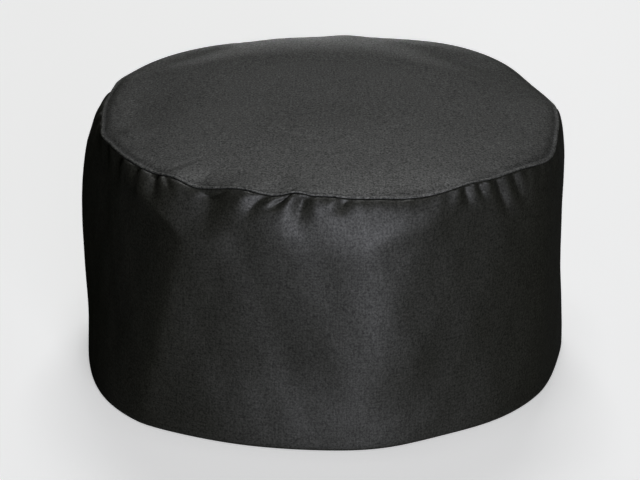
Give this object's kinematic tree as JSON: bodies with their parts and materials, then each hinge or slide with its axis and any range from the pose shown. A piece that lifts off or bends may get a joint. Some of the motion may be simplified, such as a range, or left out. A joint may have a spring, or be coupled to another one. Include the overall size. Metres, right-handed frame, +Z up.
{
  "type": "baker hat",
  "caption": "Tall soft round cap: a plain cloth side band gathered to a flat round crown, open below for the head.",
  "frame": {"origin": "middle of the hat's box on the surface it stands on, at the rim", "axes": "+Z up through the crown, -Y to the front, +X to the right seen from the front"},
  "size_m": [0.1912, 0.1956, 0.1051],
  "materials": {
    "band_cloth": "plain black cotton-blend cloth, closely woven, matt with a faint sheen",
    "crown_cloth": "the same black cloth, laid flat and top-stitched round its edge"
  },
  "bodies": {
    "root": {"side_band": "band_cloth", "crown": "crown_cloth"}
  },
  "joints": []
}
